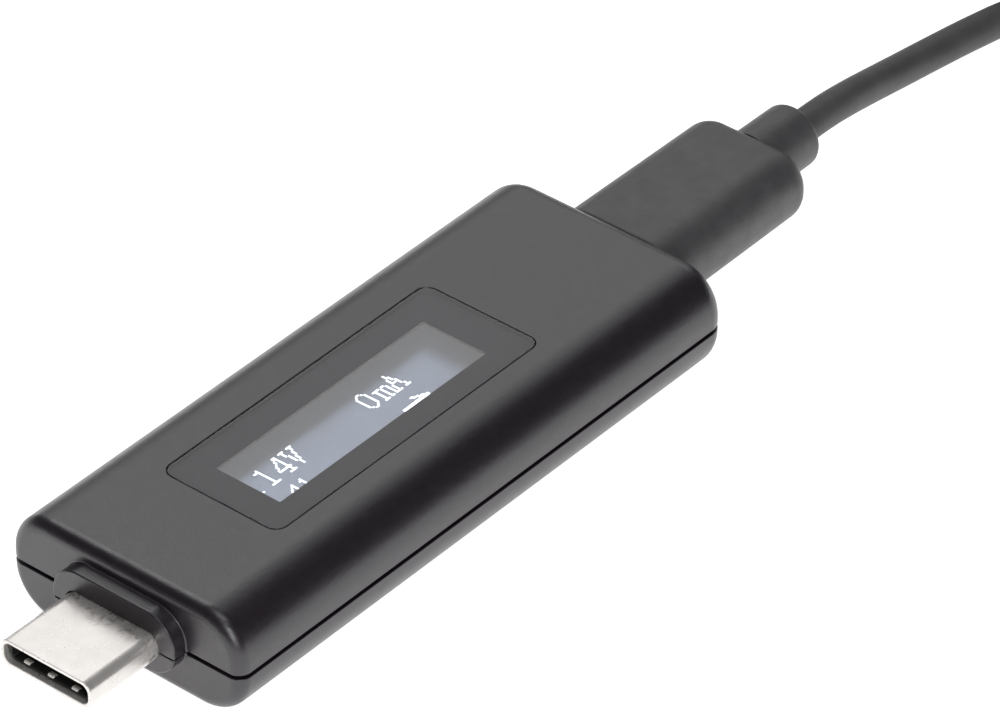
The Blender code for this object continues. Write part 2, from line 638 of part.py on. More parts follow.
def lead(nickel, liquid_crystal, gold, soft_plastic, cord_plastic, strap):
    near = Matrix.Translation((LEAD_MOUTH, 0, AXIS_HEIGHT))
    usb_plug("lead_", near, PLUG_INSERT + 1.3 * MM, nickel, liquid_crystal, gold)
    grip_and_relief("lead_", near, soft_plastic)

    spacing = 2.5 * CORD_DIAMETER / 2
    path, tail = (smooth_path([Vector(place) * MM for place in route], spacing)
                  for route in (CORD_ROUTE, TAIL_ROUTE))
    heading = Vector((math.cos(TAIL_HEADING), math.sin(TAIL_HEADING), 0))
    end = tail[-1]
    path[0] = path[0] + Vector((TOUCH_GAP, 0, 0))
    tail[-1] = end - TOUCH_GAP * heading
    tube("lead_cord", clear_of_hank(path), CORD_DIAMETER, cord_plastic)
    hank_and_tie(cord_plastic, strap)
    tube("lead_cord_tail", clear_of_hank(tail), CORD_DIAMETER, cord_plastic)

    mouth = end + heading * (RELIEF_LENGTH + GRIP_LENGTH + PLUG_INSERT)
    far = Matrix.Translation(mouth) @ Matrix.Rotation(TAIL_HEADING + math.pi, 4, "Z")
    usb_plug("far_", far, PLUG_INSERT + 1.3 * MM, nickel, liquid_crystal, gold)
    grip_and_relief("far_", far, soft_plastic)


def build():
    clear_scene()
    shell_plastic = make_material("shell_plastic", (0.045, 0.044, 0.046), 0.42)
    glass = make_material("window_glass", (0.03, 0.03, 0.033), 0.12)
    nickel = make_material("nickel", (0.78, 0.76, 0.73), 0.18, 1)
    gold = make_material("gold", (0.86, 0.66, 0.33), 0.25, 1)
    liquid_crystal = make_material("insulator_plastic", (0.02, 0.02, 0.02), 0.5)
    soft_plastic = make_material("soft_plastic", (0.05, 0.05, 0.052), 0.5)
    cord_plastic = make_material("cord_plastic", (0.05, 0.05, 0.052), 0.4)
    laminate = make_material("board_laminate", (0.02, 0.12, 0.06), 0.4)
    resin = make_material("chip_resin", (0.03, 0.03, 0.03), 0.6)
    ceramic = make_material("capacitor_ceramic", (0.45, 0.33, 0.22), 0.5)
    foam = make_material("foam", (0.02, 0.02, 0.02), 0.9)
    film = make_material("flex_film", (0.55, 0.28, 0.05), 0.35)
    adhesive = make_material("adhesive", (0.1, 0.1, 0.1), 0.7)
    strap = make_material("strap", (0.03, 0.03, 0.03), 0.8)

    housing(shell_plastic)
    display(glass, foam, film, adhesive)
    circuit_board(laminate, resin, ceramic, nickel)
    plug_frame = Matrix.Translation((X_TIP, 0, AXIS_HEIGHT))
    usb_plug("", plug_frame, PLUG_REACH + 3.4 * MM, nickel, liquid_crystal, gold)
    ground_springs(plug_frame, nickel)
    receptacle(nickel, liquid_crystal, gold)
    lead(nickel, liquid_crystal, gold, soft_plastic, cord_plastic, strap)


build()
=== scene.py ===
"""The looks of a slim USB-C power meter with a USB-C lead in its socket.

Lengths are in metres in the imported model's frame: the meter lies along X with its plug towards -X,
its display faces +Z and its base is at Z = 0. Section outlines are pairs across and up.
"""
import json
import math

import bmesh
import bpy
from mathutils import Matrix, Vector


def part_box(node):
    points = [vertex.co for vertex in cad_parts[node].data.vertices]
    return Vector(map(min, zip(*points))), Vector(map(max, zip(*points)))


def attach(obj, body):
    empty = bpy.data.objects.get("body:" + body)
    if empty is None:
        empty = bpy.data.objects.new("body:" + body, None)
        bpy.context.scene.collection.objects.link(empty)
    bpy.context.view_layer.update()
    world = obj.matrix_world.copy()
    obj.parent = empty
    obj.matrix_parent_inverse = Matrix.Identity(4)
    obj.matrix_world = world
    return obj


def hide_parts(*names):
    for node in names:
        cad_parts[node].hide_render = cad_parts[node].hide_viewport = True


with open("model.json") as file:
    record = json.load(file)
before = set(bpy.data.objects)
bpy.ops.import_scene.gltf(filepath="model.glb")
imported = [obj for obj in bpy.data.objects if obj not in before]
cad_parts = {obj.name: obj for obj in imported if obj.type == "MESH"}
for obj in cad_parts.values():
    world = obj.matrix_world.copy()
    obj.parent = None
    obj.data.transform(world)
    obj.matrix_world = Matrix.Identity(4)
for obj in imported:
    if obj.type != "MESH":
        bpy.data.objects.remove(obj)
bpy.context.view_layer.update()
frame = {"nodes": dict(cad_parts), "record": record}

MM = 0.001
TURN = 2 * math.pi

# Housing
SHOULDER_RADIUS = 3.9 * MM
FRONT_RADIUS = 1.1 * MM
REAR_RADIUS = 1.8 * MM
PARTING_EDGE = 0.07 * MM
WALL = 1.2 * MM
TOP_WALL = 1.7 * MM
BOTTOM_WALL = 1.1 * MM
COLLAR_SECTION = (11.75 * MM, 5.4 * MM, 2.6 * MM)
COLLAR_SHIFT = -0.13 * MM
COLLAR_RISE = 0.36 * MM
COLLAR_CLOSER = 0.12 * MM
COLLAR_REACH = 1.3 * MM
COLLAR_FILLET = 0.12 * MM
COLLAR_RIM = 0.16 * MM
COLLAR_SUNK = 0.9 * MM
POCKET_GROOVE = 0.055 * MM
POCKET_LIP = 0.12 * MM
POCKET_FLOOR = 7.85 * MM
POCKET_OPENING = (26.0 * MM, 8.6 * MM, 0.5 * MM)

# Display
LENS_RADIUS = 1.0 * MM
LENS_EXTRA = 0.16 * MM
VIEW_LENGTH = 23.2 * MM
VIEW_WIDTH = 6.2 * MM
PIXEL = 0.1825 * MM
PIXEL_FILL = 0.9
DISPLAY_TURN = math.radians(1.3)

# USB-C plug
PLUG_WIDTH = 8.25 * MM
METER_PLUG_WIDTH = 8.8 * MM
METER_PLUG_CORNER = 0.95 * MM
PLUG_HEIGHT = 2.4 * MM
PLUG_WALL = 0.33 * MM
PLUG_INSERT = 6.65 * MM
SOCKET_WIDTH = 8.94 * MM
PLUG_TAIL = 1.3 * MM
METER_PLUG_SHIFT = Vector((-0.2, -0.07, 0)) * MM
SLOT_DEPTH = 5.55 * MM

# Lead
GRIP_SECTION = (11.6 * MM, 6.3 * MM, 3.0 * MM)
GRIP_LENGTH = 17.25 * MM
GRIP_FRONT_RADIUS = 0.45 * MM
GRIP_REAR_RADIUS = 1.8 * MM
GRIP_TAPER = 0.02
RELIEF_LENGTH = 4.95 * MM
RELIEF_RADIUS = 2.75 * MM
CORD_DIAMETER = 2.8 * MM
HANK_CENTRE = Vector((124.0, 1.5, 0)) * MM
HANK_RUN = 50.4 * MM
HANK_RADIUS = 9.83 * MM
HANK_PINCH = 6.5 * MM
HANK_PITCH = 2.86 * MM
HANK_BASE = 0.55 * MM
TAIL_HEADING = math.radians(18)

# The hank's ends in turns, and the cord's places before and after it in millimetres
HANK_START, HANK_END = -0.0317, 5.31
CORD_ROUTE = [
    (54.425, 0.00, 4.55), (58.10, 0.03, 4.48), (60.40, 0.15, 4.18), (63.50, 0.42, 3.52),
    (66.50, 0.70, 2.80), (69.40, 0.88, 2.18), (72.10, 0.90, 1.76), (74.60, 0.74, 1.53),
    (76.90, 0.44, 1.45), (79.10, 0.04, 1.43), (81.20, -0.42, 1.43), (83.66, -1.27, 1.43),
    (86.01, -2.79, 1.46), (88.24, -4.80, 1.55), (90.57, -6.69, 1.72),
]
TAIL_ROUTE = [
    (153.10, -9.68, 7.60), (157.00, -9.30, 7.05), (160.80, -8.50, 5.85), (164.50, -7.45, 4.50),
    (167.90, -6.40, 3.60), (171.00, -5.40, 3.25),
]

# Camera, with its angles in degrees and its lens in millimetres
CAMERA_LENS = 250.62
CAMERA_PLACE = Vector((-302.806, -269.583, 320.236)) * MM
CAMERA_AZIMUTH = -139.98982
CAMERA_ELEVATION = 37.04687
CAMERA_ROLL = -0.1743

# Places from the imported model
SHELL_LOW, SHELL_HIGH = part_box("upper_shell")
BASE_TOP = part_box("lower_shell")[1].z
LENS_LOW, LENS_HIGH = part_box("display_window")
OLED_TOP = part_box("oled_panel")[1].z
PLUG_LOW, PLUG_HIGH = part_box("plug_shell")
LEAD_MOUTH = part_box("lead_plug_shell")[0].x
X_FRONT = SHELL_LOW.x + COLLAR_REACH
X_REAR = SHELL_HIGH.x
HOUSING_TOP = SHELL_HIGH.z
HOUSING_HALF = SHELL_HIGH.y
PARTING_TOP = SHELL_LOW.z
PARTING_GAP = 0.35 * MM
PARTING_BOTTOM = PARTING_TOP - PARTING_GAP
ROOT = X_FRONT - COLLAR_REACH
AXIS_HEIGHT = (PLUG_LOW.z + PLUG_HIGH.z) / 2
WINDOW_X = (LENS_LOW.x + LENS_HIGH.x) / 2
WINDOW_Y = (LENS_LOW.y + LENS_HIGH.y) / 2
FACING = {
    "X": Matrix(((0, 0, 1), (1, 0, 0), (0, 1, 0))).to_4x4(),
    "Y": Matrix(((1, 0, 0), (0, 0, -1), (0, 1, 0))).to_4x4(),
    "Z": Matrix.Identity(4),
}
ON_AXIS = Matrix.Translation((0, 0, AXIS_HEIGHT))


# Camera

def direction(azimuth, elevation):
    """The way from the meter to a place at these angles, in degrees."""
    a, e = math.radians(azimuth), math.radians(elevation)
    return Vector((math.cos(a) * math.cos(e), math.sin(a) * math.cos(e), math.sin(e)))


def place_camera():
    """A long lens that looks down at the meter from its plug's end."""
    lens = bpy.data.cameras.new("camera")
    lens.sensor_width = 36
    lens.lens = CAMERA_LENS
    lens.clip_start, lens.clip_end = 0.01, 50
    camera = bpy.data.objects.new("camera", lens)
    upright = direction(CAMERA_AZIMUTH, CAMERA_ELEVATION).to_track_quat("Z", "Y").to_matrix().to_4x4()
    roll = Matrix.Rotation(math.radians(CAMERA_ROLL), 4, "Z")
    camera.matrix_world = Matrix.Translation(CAMERA_PLACE) @ upright @ roll
    bpy.context.scene.collection.objects.link(camera)
    bpy.context.scene.camera = camera


place_camera()


# Materials

class Nodes:
    """Short names for the nodes of one material."""

    def __init__(self, name):
        self.material = bpy.data.materials.new(name)
        self.material.use_nodes = True
        self.tree = self.material.node_tree
        self.shader = self.tree.nodes["Principled BSDF"]
        self.place = self.add("ShaderNodeTexCoord").outputs["Object"]

    def add(self, kind, **settings):
        node = self.tree.nodes.new(kind)
        for key, value in settings.items():
            setattr(node, key, value)
        return node

    def link(self, source, target):
        self.tree.links.new(source, target)

    def set(self, **values):
        for key, value in values.items():
            self.shader.inputs[key.replace("_", " ").title().replace("Ior", "IOR")].default_value = value

    def noise(self, size, detail=3.0, roughness=0.5, place=None):
        """Noise whose features are about size metres across."""
        node = self.add("ShaderNodeTexNoise")
        node.inputs["Scale"].default_value = 1 / size
        node.inputs["Detail"].default_value = detail
        node.inputs["Roughness"].default_value = roughness
        self.link(place or self.place, node.inputs["Vector"])
        return node.outputs["Fac"]

    def stretched(self, scale):
        node = self.add("ShaderNodeMapping")
        node.inputs["Scale"].default_value = scale
        self.link(self.place, node.inputs["Vector"])
        return node.outputs["Vector"]

    def ramp(self, value, stops):
        node = self.add("ShaderNodeValToRGB")
        elements = node.color_ramp.elements
        while len(elements) < len(stops):
            elements.new(0.5)
        for element, (position, colour) in zip(elements, stops):
            element.position = position
            element.color = (*colour, 1) if len(colour) == 3 else colour
        self.link(value, node.inputs["Fac"])
        return node.outputs["Color"]

    def spread(self, value, low, high):
        """Maps a noise value, mostly between 0.3 and 0.7, onto low to high."""
        node = self.add("ShaderNodeMapRange")
        node.inputs["From Min"].default_value = 0.3
        node.inputs["From Max"].default_value = 0.7
        node.inputs["To Min"].default_value = low
        node.inputs["To Max"].default_value = high
        self.link(value, node.inputs["Value"])
        return node.outputs["Result"]

    def bump(self, height, distance, strength=1.0, below=None):
        node = self.add("ShaderNodeBump")
        node.inputs["Strength"].default_value = strength
        node.inputs["Distance"].default_value = distance
        self.link(height, node.inputs["Height"])
        if below is not None:
            self.link(below, node.inputs["Normal"])
        return node.outputs["Normal"]

    def colour_from(self, value, dark, light):
        self.link(self.ramp(value, ((0.3, dark), (0.7, light))), self.shader.inputs["Base Color"])

    def roughness_from(self, value, low, high):
        self.link(self.spread(value, low, high), self.shader.inputs["Roughness"])

    def normal_from(self, normal):
        self.link(normal, self.shader.inputs["Normal"])


def moulded_plastic(name, dark, light, roughness, grain, depth, specular):
    """Spark-eroded moulding: a fine grain, slight mottling and slow changes in gloss."""
    n = Nodes(name)
    n.colour_from(n.noise(1.6 * MM, 4), dark, light)
    n.set(specular_ior_level=specular)
    n.roughness_from(n.noise(0.9 * MM, 5), roughness - 0.03, roughness + 0.03)
    coarse = n.bump(n.noise(2.4 * grain, 2), 2 * depth, 0.5)
    n.normal_from(n.bump(n.noise(grain, 3, 0.6), depth, 1.0, coarse))
    return n.material


def nickel_plate():
    """Bright plate, darker in blotches that grow towards where the meter's plug meets its collar."""
    n = Nodes("nickel_plate")
    n.set(metallic=0.66)
    clean = n.ramp(n.noise(1.6 * MM, 2), ((0.3, (0.77, 0.74, 0.71)), (0.7, (0.84, 0.81, 0.78))))
    along = n.add("ShaderNodeSeparateXYZ")
    n.link(n.place, along.inputs[0])
    near_root = n.add("ShaderNodeMapRange")
    for key, value in (("From Min", ROOT - 2.2 * MM), ("From Max", ROOT), ("To Min", 0.0), ("To Max", 0.78)):
        near_root.inputs[key].default_value = value
    n.link(along.outputs["X"], near_root.inputs["Value"])
    beyond = n.add("ShaderNodeMath", operation="LESS_THAN")
    beyond.inputs[1].default_value = ROOT + 1.5 * MM
    n.link(along.outputs["X"], beyond.inputs[0])
    # Darker blotches that grow over the last 2.2 mm before the collar's root and stop 1.5 mm past it.
    dark_blotch = n.ramp(n.noise(0.5 * MM, 6, 0.65), ((0.50, (0, 0, 0)), (0.62, (1, 1, 1))))
    share = n.add("ShaderNodeMath", operation="MULTIPLY")
    n.link(near_root.outputs["Result"], share.inputs[0])
    n.link(dark_blotch, share.inputs[1])
    here = n.add("ShaderNodeMath", operation="MULTIPLY")
    n.link(share.outputs[0], here.inputs[0])
    n.link(beyond.outputs[0], here.inputs[1])
    mix = n.add("ShaderNodeMixRGB")
    mix.inputs["Color2"].default_value = (0.16, 0.145, 0.13, 1)
    n.link(here.outputs[0], mix.inputs["Fac"])
    n.link(clean, mix.inputs["Color1"])
    n.link(mix.outputs["Color"], n.shader.inputs["Base Color"])
    n.roughness_from(n.noise(1.1 * MM, 2), 0.26, 0.31)
    drawn = n.noise(0.05 * MM, 2, 0.5, n.stretched((0.06, 1, 1)))
    n.normal_from(n.bump(drawn, 0.0006 * MM, 0.2))
    return n.material


def gold_plate():
    n = Nodes("gold_plate")
    n.set(metallic=1.0)
    n.colour_from(n.noise(0.5 * MM, 3), (0.80, 0.56, 0.24), (0.90, 0.70, 0.36))
    n.roughness_from(n.noise(0.3 * MM, 4), 0.18, 0.3)
    return n.material


def lens_plastic():
    """Clear cast sheet. It casts no shadow, so light reaches the display below it."""
    n = Nodes("lens_plastic")
    n.set(base_color=(0.97, 0.975, 0.98, 1), transmission_weight=1.0, ior=1.6)
    n.roughness_from(n.noise(3 * MM, 2), 0.0, 0.004)
    return n.material


def mask_ink():
    n = Nodes("mask_ink")
    n.set(specular_ior_level=0.0)
    n.colour_from(n.noise(1.1 * MM, 3), (0.030, 0.027, 0.032), (0.036, 0.033, 0.038))
    n.roughness_from(n.noise(0.4 * MM, 3), 0.6, 0.7)
    return n.material


def display_glass_painted_glow():
    """The dark display under its faintly blue polariser. Its faint white emission is a painted glow that
    brightens the whole face, because the unlit display gives no light.
    """
    n = Nodes("display_glass_painted_glow")
    n.set(metallic=0.85)
    n.colour_from(n.noise(2.5 * MM, 2), (0.155, 0.185, 0.25), (0.165, 0.20, 0.27))
    n.roughness_from(n.noise(0.6 * MM, 3), 0.30, 0.34)
    # Painted glow: a faint white emission that brightens the whole unlit face.
    n.set(emission_color=(0.95, 0.93, 0.95, 1), emission_strength=0.06)
    return n.material


def lit_pixels():
    n = Nodes("lit_pixels")
    n.set(base_color=(0.8, 0.85, 0.9, 1), roughness=0.5, emission_strength=1.5)
    glow = n.ramp(n.noise(0.5 * MM, 2), ((0.3, (0.86, 0.94, 1.0)), (0.7, (0.94, 0.98, 1.0))))
    n.link(glow, n.shader.inputs["Emission Color"])
    return n.material


def cord_jacket():
    """Extruded jacket: smooth, with slow waves from the die and faint scuffs."""
    n = Nodes("cord_jacket")
    n.colour_from(n.noise(2.2 * MM, 3), (0.064, 0.063, 0.065), (0.082, 0.081, 0.083))
    n.roughness_from(n.noise(0.8 * MM, 5, 0.6), 0.46, 0.56)
    n.set(specular_ior_level=0.35)
    waves = n.bump(n.noise(3.5 * MM, 2), 0.05 * MM, 0.25)
    n.normal_from(n.bump(n.noise(0.16 * MM, 3), 0.004 * MM, 0.6, waves))
    return n.material


def strap_fabric():
    """Woven nylon strap: crossing rows of yarn."""
    n = Nodes("strap_fabric")
    warp = n.add("ShaderNodeTexWave", bands_direction="X")
    weft = n.add("ShaderNodeTexWave", bands_direction="Z")
    for wave in (warp, weft):
        wave.inputs["Scale"].default_value = 1 / (4.2 * MM)
        wave.inputs["Distortion"].default_value = 0.6
        wave.inputs["Detail"].default_value = 1.0
        n.link(n.place, wave.inputs["Vector"])
    both = n.add("ShaderNodeMath", operation="MULTIPLY")
    n.link(warp.outputs["Fac"], both.inputs[0])
    n.link(weft.outputs["Fac"], both.inputs[1])
    n.link(n.ramp(both.outputs[0], ((0.0, (0.006, 0.006, 0.007)), (1.0, (0.03, 0.03, 0.032)))),
           n.shader.inputs["Base Color"])
    n.set(sheen_weight=0.4, sheen_roughness=0.4)
    n.roughness_from(n.noise(0.3 * MM), 0.75, 0.9)
    fuzz = n.bump(n.noise(0.1 * MM, 4), 0.03 * MM, 0.6)
    n.normal_from(n.bump(both.outputs[0], 0.06 * MM, 0.8, fuzz))
    return n.material


def mottled(name, dark, light, low, high, size, metallic=0.0, depth=0.0):
    """A plain finish with mottled colour and gloss, for the parts inside."""
    n = Nodes(name)
    n.set(metallic=metallic)
    n.colour_from(n.noise(size, 4), dark, light)
    n.roughness_from(n.noise(size / 2, 4), low, high)
    if depth:
        n.normal_from(n.bump(n.noise(size / 6, 3), depth, 0.8))
    return n.material


SHELL = moulded_plastic("shell_plastic", (0.0125, 0.0085, 0.0132), (0.0150, 0.0108, 0.0157), 0.34, 0.13 * MM,
                        0.011 * MM, 0.9)
GRIP = moulded_plastic("grip_plastic", (0.056, 0.0535, 0.057), (0.076, 0.0735, 0.077), 0.46, 0.20 * MM,
                       0.020 * MM, 0.6)
NICKEL = nickel_plate()
GOLD = gold_plate()
LENS = lens_plastic()
MASK = mask_ink()
DISPLAY = display_glass_painted_glow()
PIXELS = lit_pixels()
JACKET = cord_jacket()
STRAP = strap_fabric()
INSULATOR = mottled("insulator_plastic", (0.008, 0.008, 0.008), (0.014, 0.014, 0.014), 0.42, 0.55,
                    0.4 * MM, 0, 0.004 * MM)
CAD_FINISH = {
    "adhesive": mottled("adhesive", (0.012, 0.012, 0.012), (0.02, 0.02, 0.02), 0.6, 0.75, 0.8 * MM),
    "flex_film": mottled("flex_film", (0.35, 0.15, 0.02), (0.5, 0.24, 0.04), 0.25, 0.4, 1.5 * MM),
    "foam": mottled("foam", (0.01, 0.01, 0.01), (0.03, 0.03, 0.03), 0.85, 0.95, 0.3 * MM, 0, 0.05 * MM),
    "board_laminate": mottled("board_laminate", (0.005, 0.05, 0.02), (0.01, 0.08, 0.035), 0.3, 0.42,
                              1.2 * MM),
    "chip_resin": mottled("chip_resin", (0.01, 0.01, 0.01), (0.02, 0.02, 0.02), 0.5, 0.65, 0.3 * MM, 0,
                          0.006 * MM),
    "shunt_metal": mottled("shunt_metal", (0.4, 0.38, 0.35), (0.55, 0.52, 0.48), 0.3, 0.45, 0.5 * MM, 1),
    "ceramic": mottled("ceramic", (0.38, 0.26, 0.16), (0.5, 0.37, 0.25), 0.4, 0.55, 0.4 * MM, 0, 0.004 * MM),
    "nickel": NICKEL,
    "insulator_plastic": INSULATOR,
    "contact_gold": GOLD,
    "panel_glass": DISPLAY,
}


def dress_cad_nodes():
    """Gives each CAD node that stays the finish of its record slot."""
    for part in frame["record"]["subparts"]:
        finish = CAD_FINISH.get(part["material_slot"])
        if finish is not None:
            for slot in frame["nodes"][part["node"]].material_slots:
                slot.material = finish


# Outlines

def arc(centre, radius, start, end, steps):
    angles = [math.radians(start + (end - start) * step / steps) for step in range(steps + 1)]
    return [(centre[0] + radius * math.cos(a), centre[1] + radius * math.sin(a)) for a in angles]


def rounded_rectangle(width, height, radius, centre=(0, 0), steps=16):
    across, up = width / 2 - radius, height / 2 - radius
    outline = []
    for side, rise, start in ((1, -1, -90), (1, 1, 0), (-1, 1, 90), (-1, -1, 180)):
        corner = (centre[0] + side * across, centre[1] + rise * up)
        outline += arc(corner, radius, start, start + 90, steps)
    return outline


def stadium(width, height, steps=32):
    half = width / 2 - height / 2
    return arc((half, 0), height / 2, -90, 90, steps) + arc((-half, 0), height / 2, 90, 270, steps)


def circle(radius, steps=48):
    return arc((0, 0), radius, 0, 360 - 360 / steps, steps - 1)


def half_outline(width, top, radius, parting, edge, steps=20):
    """The upper half of a housing section: flat along the parting, with small rounds beside it."""
    half = width / 2
    start = math.asin(min(1.0, max(0.0, (parting + edge - top + radius) / radius)))
    reach = half - radius + radius * math.cos(start)
    first = math.degrees(start)
    return (arc((reach - edge, parting + edge), edge, -90, 0, 4)
            + arc((half - radius, top - radius), radius, first, 90, steps)
            + arc((radius - half, top - radius), radius, 90, 180 - first, steps)
            + arc((edge - reach, parting + edge), edge, 180, 270, 4))


def round_inset(radius, depth):
    """How far a rounded rim stands in, at a depth behind its end."""
    return radius - math.sqrt(max(0.0, radius ** 2 - max(0.0, radius - depth) ** 2))


def rim_depths(radius, steps):
    return [radius * (1 - math.cos(math.pi / 2 * step / steps)) for step in range(steps + 1)]


# Meshes

def new_piece(name, mesh):
    piece = bpy.data.objects.new(name, mesh)
    bpy.context.scene.collection.objects.link(piece)
    return piece


def loft(name, sections, axis="X", place=Matrix.Identity(4), closed=False):
    """A solid through (level, outline) sections along an axis, or a ring when it is closed."""
    turn = place @ FACING[axis]
    rings = [[turn @ Vector((across, up, level)) for across, up in outline] for level, outline in sections]
    return loft_rings(name, rings, closed)


def loft_rings(name, rings, closed=False):
    work = bmesh.new()
    loops = [[work.verts.new(point) for point in ring] for ring in rings]
    count = len(loops[0])
    pairs = list(zip(loops, loops[1:]))
    if closed:
        pairs.append((loops[-1], loops[0]))
    for one, two in pairs:
        for i in range(count):
            j = (i + 1) % count
            work.faces.new((one[i], one[j], two[j], two[i]))
    if not closed:
        work.faces.new(loops[0][::-1])
        work.faces.new(loops[-1])
    bmesh.ops.remove_doubles(work, verts=work.verts, dist=1e-8)
    bmesh.ops.recalc_face_normals(work, faces=work.faces)
    mesh = bpy.data.meshes.new(name)
    work.to_mesh(mesh)
    work.free()
    return new_piece(name, mesh)


def rounded_prism(name, outline_at, low, high, low_rim, high_rim, axis="X", place=Matrix.Identity(4),
                  steps=8):
    """A prism with rounded rims. outline_at gives the section for an inset."""
    def rim(radius):
        if not radius:
            return [(0, 0)]
        return [(depth, round_inset(radius, depth)) for depth in rim_depths(radius, steps)]

    sections = [(low + depth, outline_at(inset)) for depth, inset in rim(low_rim)]
    sections += [(high - depth, outline_at(inset)) for depth, inset in rim(high_rim)[::-1]]
    return loft(name, sections, axis, place)


def bake(piece):
    """Keeps what the modifiers make as the piece's own mesh."""
    depsgraph = bpy.context.evaluated_depsgraph_get()
    mesh = bpy.data.meshes.new_from_object(piece.evaluated_get(depsgraph))
    piece.modifiers.clear()
    piece.data = mesh


def carve(piece, tool, operation="DIFFERENCE"):
    change = piece.modifiers.new("carve", "BOOLEAN")
    change.operation, change.object, change.solver = operation, tool, "EXACT"
    bake(piece)
    bpy.data.objects.remove(tool, do_unlink=True)


def settle(piece, material, body, slot, *nodes, sharp=32):
    """Finishes a piece: shading, material, body and the CAD nodes it stands for. Its slot argument is not
    used.
    """
    piece.data.materials.clear()
    piece.data.materials.append(material)
    piece.data.shade_smooth()
    piece.data.set_sharp_from_angle(angle=math.radians(sharp))
    weighted = piece.modifiers.new("weighted_normals", "WEIGHTED_NORMAL")
    weighted.keep_sharp = True
    weighted.weight = 80
    if nodes:
        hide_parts(*nodes)
    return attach(piece, body)


# Housing

def half_levels(rim, edge):
    """Depths behind an end that catch both its rim and its small parting round."""
    return sorted(set(rim_depths(rim, 12) + rim_depths(edge, 3)))


def housing_half(name, upper):
    """One half of the shell with its half of the collar, both with rounded parting edges."""
    parting, top = (PARTING_TOP, HOUSING_TOP) if upper else (-PARTING_BOTTOM, 0.0)

    def section(width, crown, radius, rim, depth, shift=0.0, closer=0.0):
        inset = round_inset(rim, depth)
        lift = round_inset(PARTING_EDGE, depth) - closer
        outline = half_outline(width - 2 * inset, crown - inset, radius - inset, parting + lift, PARTING_EDGE)
        return [(across + shift, up) for across, up in outline] if upper else [
            (across + shift, -up) for across, up in outline[::-1]]

    body_width = 2 * HOUSING_HALF
    sections = [(X_FRONT + d, section(body_width, top, SHOULDER_RADIUS, FRONT_RADIUS, d))
                for d in half_levels(FRONT_RADIUS, PARTING_EDGE)]
    sections += [(X_REAR - d, section(body_width, top, SHOULDER_RADIUS, REAR_RADIUS, d))
                 for d in half_levels(REAR_RADIUS, PARTING_EDGE)[::-1]]
    shell = loft(name, sections)

    width, height, radius = COLLAR_SECTION
    middle = AXIS_HEIGHT + COLLAR_RISE
    crown = middle + height / 2 if upper else height / 2 - middle
    collar = [(ROOT + d, section(width, crown, radius, COLLAR_RIM, d, COLLAR_SHIFT, COLLAR_CLOSER))
              for d in half_levels(COLLAR_RIM, PARTING_EDGE)]
    for step in range(7):
        behind = COLLAR_FILLET * (1 - step / 6)
        flare = round_inset(COLLAR_FILLET, behind)
        collar.append((X_FRONT - behind,
                       section(width + 2 * flare, crown + flare, radius + flare, 0, 1, COLLAR_SHIFT,
                               COLLAR_CLOSER)))
    collar.append((X_FRONT + COLLAR_SUNK, collar[-1][1]))
    carve(shell, loft("collar", collar), "UNION")
    return shell


def cavity():
    height = HOUSING_TOP - TOP_WALL - BOTTOM_WALL
    outline = rounded_rectangle(2 * (HOUSING_HALF - WALL), height, 2.6 * MM, (0, BOTTOM_WALL + height / 2), 8)
    return loft("cavity", [(X_FRONT + WALL, outline), (X_REAR - WALL, outline)])


def slot_through(name, width, height, corner, low, high, mouth, flare):
    """A slot cutter along the plug's axis with a rounded mouth at one end."""
    def outline(grow):
        return plug_outline(width + 2 * grow, height + 2 * grow, corner + grow)

    side = 1 if mouth > (low + high) / 2 else -1
    sections = [(low, outline(0)), (high, outline(0))]
    rounds = [(mouth - side * (flare - depth), outline(round_inset(flare, flare - depth)))
              for depth in [flare * step / 5 for step in range(6)]]
    beyond = (mouth + side * 0.5 * MM, outline(flare))
    sections = [sections[0], *rounds, beyond] if side > 0 else [beyond, *rounds[::-1], sections[1]]
    return loft(name, sections, "X", ON_AXIS)


def cut_ports(shell):
    plug_hole = slot_through("plug_hole", METER_PLUG_WIDTH + 0.1 * MM, PLUG_HEIGHT + 0.1 * MM,
                             METER_PLUG_CORNER + 0.05 * MM, ROOT, X_FRONT + 2 * WALL, ROOT, 0.05 * MM)
    low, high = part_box("receptacle_shell")
    socket_hole = slot_through("socket_hole", SOCKET_WIDTH + 0.4 * MM, high.z - low.z + 0.4 * MM,
                               high.z - low.z, X_REAR - 2 * WALL, X_REAR, X_REAR, 0.2 * MM)
    for tool in (plug_hole, socket_hole):
        carve(shell, tool)


def plan(name, inset, radius, low, high):
    outline = rounded_rectangle(X_REAR - X_FRONT - 2 * inset, 2 * (HOUSING_HALF - inset), radius,
                                ((X_FRONT + X_REAR) / 2, 0), 4)
    return loft(name, [(low, outline), (high, outline)], "Z")


def window_outline(grow):
    return rounded_rectangle(LENS_HIGH.x - LENS_LOW.x + LENS_EXTRA + 2 * grow,
                             LENS_HIGH.y - LENS_LOW.y + 2 * grow, LENS_RADIUS + grow,
                             (WINDOW_X + LENS_EXTRA / 2, WINDOW_Y), 16)


def top_shell():
    shell = housing_half("top_shell", True)
    carve(shell, plan("rebate", 0.6 * MM, 1.0 * MM, PARTING_TOP - MM, PARTING_TOP + 0.6 * MM))
    carve(shell, cavity())
    sections = [(POCKET_FLOOR, window_outline(POCKET_GROOVE))]
    for step in range(7):
        depth = POCKET_LIP * (1 - step / 6)
        sections.append((HOUSING_TOP - depth, window_outline(POCKET_GROOVE + round_inset(POCKET_LIP, depth))))
    sections.append((HOUSING_TOP + MM, window_outline(POCKET_GROOVE + POCKET_LIP)))
    carve(shell, loft("pocket", sections, "Z"))
    opening = rounded_rectangle(*POCKET_OPENING, (WINDOW_X, WINDOW_Y), 4)
    carve(shell, loft("opening", [(AXIS_HEIGHT, opening), (HOUSING_TOP, opening)], "Z"))
    cut_ports(shell)
    settle(shell, SHELL, "meter", "shell_plastic", "upper_shell")


